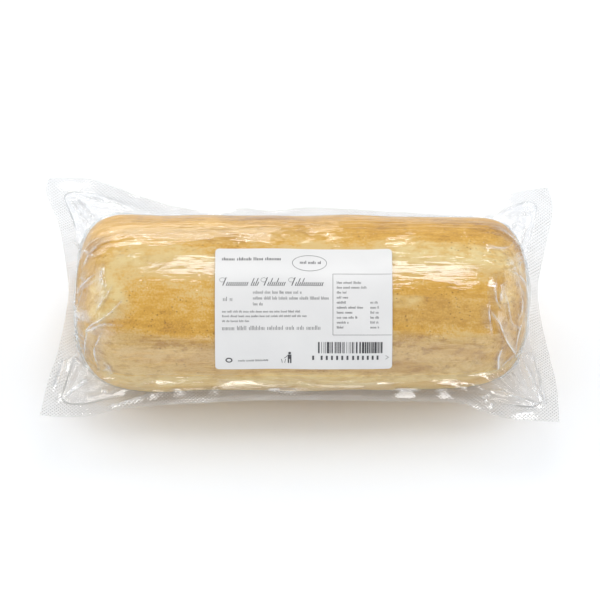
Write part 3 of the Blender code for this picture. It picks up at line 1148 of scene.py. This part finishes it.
def label_material():
    n = Material("label_paper")
    fine = n.place()
    fibre = n.noise(fine, 900.0, 3.0)
    cloud = n.noise(fine, 30.0, 2.0)
    colour = n.mix(n.step(cloud, 0.3, 0.7), (0.717, 0.716, 0.715), (0.747, 0.745, 0.740))
    colour = n.mix(n.step(fibre, 0.2, 0.8, 0.0, 0.06), colour, (0.62, 0.62, 0.63))
    relief = n.scaled(fibre, 0.2, n.noise(fine, 60.0, 2.0))
    return n.plain(colour, 0.32, 0.4, n.bump(relief, 0.12, 0.0006))


def ink_material():
    n = Material("label_ink")
    wear = n.noise(n.place(), 1500.0, 2.0)
    return n.plain(n.mix(n.step(wear, 0.35, 0.75), (0.035, 0.035, 0.04), (0.10, 0.10, 0.11)), 0.45)


def round_corners(x, y):
    """The label's flat grid with its corners drawn in to arcs."""
    inner_x = LABEL_LENGTH / 2.0 - LABEL_CORNER
    inner_y = LABEL_HEIGHT / 2.0 - LABEL_CORNER
    past_x, past_y = np.abs(x) - inner_x, np.abs(y) - inner_y
    corner = (past_x > 0.0) & (past_y > 0.0)
    reach = np.maximum(np.hypot(past_x, past_y), 1e-9)
    squeeze = np.maximum(past_x, past_y) / reach
    x = np.where(corner, np.sign(x) * (inner_x + past_x * squeeze), x)
    y = np.where(corner, np.sign(y) * (inner_y + past_y * squeeze), y)
    return x, y


def make_label():
    x, y = round_corners(*np.meshgrid(
        np.linspace(-0.5, 0.5, LABEL_COLUMNS) * LABEL_LENGTH,
        np.linspace(-0.5, 0.5, LABEL_ROWS) * LABEL_HEIGHT,
    ))
    wave = label_wave(x, y)
    front = on_label(x, y, LABEL_FRONT + wave)
    back = on_label(x, y, LABEL_BACK + wave)
    count = x.size
    faces = list(grid_faces(*x.shape, wrap=False))
    faces += list(grid_faces(*x.shape, start=count, wrap=False, flip=True))
    index = np.arange(count).reshape(x.shape)
    loop = np.concatenate([index[0, :-1], index[:-1, -1], index[-1, :0:-1], index[:0:-1, 0]])
    for a, b in zip(loop, np.roll(loop, -1)):
        faces.append((b, a, a + count, b + count))
    verts = np.vstack([front.reshape(-1, 3), back.reshape(-1, 3)])
    label = mesh_piece("label_card", verts, faces, label_material())
    label.data.set_sharp_from_angle(angle=math.radians(50.0))
    return label


class Print:
    """Thin printed shapes that follow the label, gathered into one mesh.

    Places and sizes are in millimetres from the label's middle.
    """

    def __init__(self):
        self.verts = []
        self.faces = []

    def patch(self, x, y):
        """A grid of points as one printed patch."""
        x, y = x * MM, y * MM
        start = sum(len(v) for v in self.verts)
        lift = LABEL_FRONT + PRINT_LIFT + label_wave(x, y)
        self.verts.append(on_label(x, y, lift).reshape(-1, 3))
        self.faces.extend(grid_faces(*x.shape, start=start, wrap=False))

    def bar(self, left, bottom, right, top):
        columns = 2 + int((right - left) / 4.0)
        rows = 2 + int((top - bottom) / 1.5)
        self.patch(*np.meshgrid(np.linspace(left, right, columns), np.linspace(bottom, top, rows)))

    def ring(self, centre_x, centre_y, half_width, half_height, line):
        turn = np.linspace(0.0, math.tau, 65)
        grow = np.array([0.0, line])[:, None]
        x = centre_x + (half_width + grow - line) * np.cos(turn)[None]
        y = centre_y + (half_height + grow - line) * np.sin(turn)[None]
        self.patch(x[::-1], y[::-1])

    def stroke(self, left, base, width, height, lean=0.0):
        """An upright or leaning stroke."""
        y = np.linspace(base, base + height, 2 + int(height / 1.5))[:, None] + np.zeros((1, 2))
        x = np.array([[left, left + width]]) + lean * (y - base)
        self.patch(x, y)

    def words(self, left, right, base, height, rng, longest=7.0, weight=0.22, pitch=0.55):
        """A line of made-up writing: words of short strokes, some of them taller."""
        place = left
        while place < right - pitch:
            end = min(place + rng.uniform(0.35, 1.0) * longest, right)
            while place < end:
                tall = 1.45 if rng.random() < 0.25 else 1.0
                self.stroke(place, base, weight, height * tall)
                place += pitch * rng.uniform(0.85, 1.15)
            place += height * 0.7

    def title_word(self, left, right, rng):
        """A large leaning word: a looped first stroke, then thick and thin strokes on a thin line."""
        if right - left > 6.0:
            self.ring(left + 1.5, TITLE_BASE + 3.2, 1.7, 1.3, 0.18)
            self.stroke(left + 1.4, TITLE_BASE, 0.55, 4.6, TITLE_LEAN)
            left += 3.4
        self.bar(left, TITLE_BASE, right - 0.8, TITLE_BASE + 0.18)
        place = left
        while place < right - 0.8:
            tall = 4.2 if rng.random() < 0.22 else 2.0
            self.stroke(place, TITLE_BASE, 0.48, tall, TITLE_LEAN)
            place += 1.15


TABLE_ROWS = (13.6, 16.8, 5.5, 6.4, 5.2, 14.5, 8.6, 11.5, 6.7, 3.6)


def print_writing(ink, rng):
    ink.words(-46.1, -12.4, 28.7, 1.35, rng, 9.0, 0.5, 0.95)
    ink.ring(3.3, 27.3, 9.8, 4.9, 0.25)
    ink.words(-2.1, 9.8, 26.8, 1.3, rng, 4.0, 0.4, 0.75)
    for left, right in ((-47.3, -31.0), (-29.9, -25.2), (-24.0, -9.9), (-8.4, 11.8)):
        ink.title_word(left, right, rng)
    ink.words(-28.5, -1.1, 9.5, 1.2, rng, 6.0)
    ink.words(-28.5, 13.8, 6.3, 1.2, rng, 6.0)
    ink.words(-28.5, -22.9, 3.1, 1.2, rng, 6.0)
    ink.words(-45.4, -39.4, 5.5, 1.6, rng, 3.0, 0.28, 0.9)
    for base, right in ((-0.8, -2.3), (-3.3, 2.2), (-6.0, -30.6)):
        ink.words(-45.9, right, base, 0.85, rng, 4.0, 0.20, 0.44)
    ink.words(-45.9, 11.6, -10.6, 1.7, rng, 9.0, 0.28, 0.85)
    ink.words(-37.0, -20.2, -30.4, 0.95, rng, 8.0, 0.22, 0.44)


def print_table(ink, rng):
    ink.bar(16.4, -13.7, 16.6, 20.9)
    ink.bar(16.4, 20.7, 49.6, 20.9)
    ink.bar(16.4, -13.7, 49.6, -13.5)
    for row, width in enumerate(TABLE_ROWS):
        base = 15.2 - row * 2.78
        ink.words(18.7, 18.7 + width, base, 0.95, rng, 5.5, 0.20, 0.44)
        if row >= 4:
            ink.words(37.6, 42.3, base, 0.95, rng, 4.0, 0.20, 0.44)


def print_marks(ink, rng):
    """The striped field with its row of blocks, and two small pictograms."""
    place = 8.1
    while place < 43.9:
        width = rng.choice([0.3, 0.3, 0.6, 0.9, 1.3])
        ink.bar(place, -24.9, place + width, -17.8)
        place += width + rng.choice([0.3, 0.3, 0.6, 1.0])
    for place in (4.8, *np.linspace(9.6, 24.2, 6), *np.linspace(27.4, 41.2, 6)):
        ink.bar(place, -29.4, place + 1.1, -26.5)
    ink.stroke(46.0, -29.2, 0.4, 1.4, 1.3)
    ink.stroke(47.9, -27.9, 0.4, 1.4, -1.3)
    ink.ring(-42.2, -29.4, 2.0, 1.75, 0.75)
    ink.ring(-7.9, -24.9, 0.8, 0.8, 0.75)
    ink.bar(-9.0, -29.0, -6.9, -25.9)
    ink.bar(-9.0, -31.9, -8.2, -29.0)
    ink.bar(-7.7, -31.9, -6.9, -29.0)
    ink.stroke(-11.2, -28.4, 0.5, 2.0, 1.1)
    ink.stroke(-12.2, -31.7, 0.3, 2.8, -0.2)
    ink.stroke(-10.9, -31.7, 0.3, 2.8, 0.2)


def make_print():
    ink = Print()
    rng = np.random.default_rng(7)
    print_writing(ink, rng)
    print_table(ink, rng)
    print_marks(ink, rng)
    return mesh_piece("label_print", np.vstack(ink.verts), ink.faces, ink_material())


# ---------------- stage, light, camera

STAGE_HALF = 3.0


def floor_material():
    n = Material("pale_table")
    fine = n.place()
    colour = n.mix(n.noise(fine, 6.0, 3.0), (0.920, 0.945, 0.975), (0.930, 0.955, 0.985))
    return n.plain(colour, 0.6, normal=n.bump(n.noise(fine, 500.0, 2.0), 0.05, 0.0005))


def make_stage():
    corners = np.array([[-1, -1, 0], [1, -1, 0], [1, 1, 0], [-1, 1, 0]]) * STAGE_HALF
    floor = mesh_piece("floor", corners, [(0, 1, 2, 3)], floor_material(), smooth=False)


def area_light(name, place, target, size, radiance, colour=(1.0, 1.0, 1.0), lights=True, mirrored=True):
    """A rectangular panel of the given radiance, which lights matt surfaces, is mirrored, or both."""
    lamp = bpy.data.lights.new(name, "AREA")
    lamp.color = colour
    lamp.shape = "RECTANGLE"
    lamp.size, lamp.size_y = size
    lamp.energy = radiance * math.pi * size[0] * size[1]
    holder = bpy.data.objects.new(name, lamp)
    holder.location = place
    aim = Vector(target) - Vector(place)
    holder.rotation_euler = aim.to_track_quat("-Z", "Y").to_euler()
    holder.visible_diffuse = lights
    holder.visible_glossy = mirrored
    bpy.context.scene.collection.objects.link(holder)


def make_room():
    """A soft white room, which shiny surfaces see differently from what lights the rest."""
    world = bpy.data.worlds.new("studio")
    world.use_nodes = True
    bpy.context.scene.world = world
    n = Nodes(world.node_tree)
    background = n.tree.nodes["Background"]
    n.put(background.inputs["Color"], (0.985, 0.992, 1.0))
    x, y, z = n.split(n.add("ShaderNodeTexCoord").outputs["Generated"])
    aside = n.math("ABSOLUTE", x)
    # What shiny surfaces see: a dim room, bright low down and at both ends.
    panel = n.times(n.step(aside, 0.80, 0.88, 0.0, 1.7), n.step(z, 0.05, 0.12))
    seen = n.math("MAXIMUM", n.step(z, 0.15, 0.25, 0.45, 0.20), panel)
    # What lights the rest: brighter low down and at both ends, dimmer in front above the horizon.
    dimmed = n.times(n.step(y, -0.15, -0.55, 0.0, 0.78), n.step(z, 0.06, 0.32))
    lit = n.times(n.step(z, 0.0, 0.5, 1.27, 1.02), n.math("SUBTRACT", 1.0, dimmed))
    lit = n.times(lit, n.step(aside, 0.40, 0.80, 1.0, 1.70))
    ray = n.add("ShaderNodeLightPath")
    strength = n.fill(n.add("ShaderNodeMix"), (ray.outputs["Is Glossy Ray"], lit, seen), (0, 2, 3))
    n.put(background.inputs["Strength"], strength)


def make_light():
    """A softbox above and a weak fill in front; the panel and strip behind are only to be mirrored."""
    make_room()
    area_light("softbox_over", (0.11, 0.21, 1.25), LOG_CENTRE, (0.54, 0.37), 4.7)
    area_light("panel_back", (-1.0, 1.6, 0.72), (-1.0, 0.0, 0.2), (2.06, 0.85), 2.6,
               colour=(1.0, 0.96, 0.84), lights=False)
    area_light("strip_back", (-0.8, 1.6, 1.16), (-0.8, 0.0, 0.1), (1.60, 0.06), 12.0, lights=False)
    area_light("fill_front", (0.0, -2.8, 0.55), LOG_CENTRE, (2.4, 0.9), 2.6, mirrored=False)


def make_camera():
    data = bpy.data.cameras.new("camera")
    data.sensor_width = SENSOR_WIDTH
    data.lens = SENSOR_WIDTH * CAMERA_DISTANCE / (PHOTO_SIZE * PIXEL)
    data.clip_end = 20.0
    camera = bpy.data.objects.new("camera", data)
    back = Vector((0.0, -math.cos(CAMERA_ELEVATION), math.sin(CAMERA_ELEVATION)))
    up = Vector((0.0, math.sin(CAMERA_ELEVATION), math.cos(CAMERA_ELEVATION)))
    right = Vector((1.0, 0.0, 0.0))
    half = PHOTO_SIZE / 2.0
    shift = right * (half - LOG_CENTRE_PIXEL[0]) * PIXEL + up * (LOG_CENTRE_PIXEL[1] - half) * PIXEL
    camera.location = Vector(LOG_CENTRE) + shift + back * CAMERA_DISTANCE
    camera.rotation_euler = (-back).to_track_quat("-Z", "Y").to_euler()
    bpy.context.scene.collection.objects.link(camera)
    bpy.context.scene.camera = camera


def main():
    bpy.context.scene.view_settings.view_transform = "Standard"
    cheese = make_cheese()
    film_top, film_base = make_film()
    label = make_label()
    ink = make_print()
    for piece in (cheese, film_top, film_base):
        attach(piece, "root")
        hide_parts("sealed_bag")
    for piece in (label, ink):
        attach(piece, "root")
        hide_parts("label")
    make_stage()
    make_light()
    make_camera()


main()
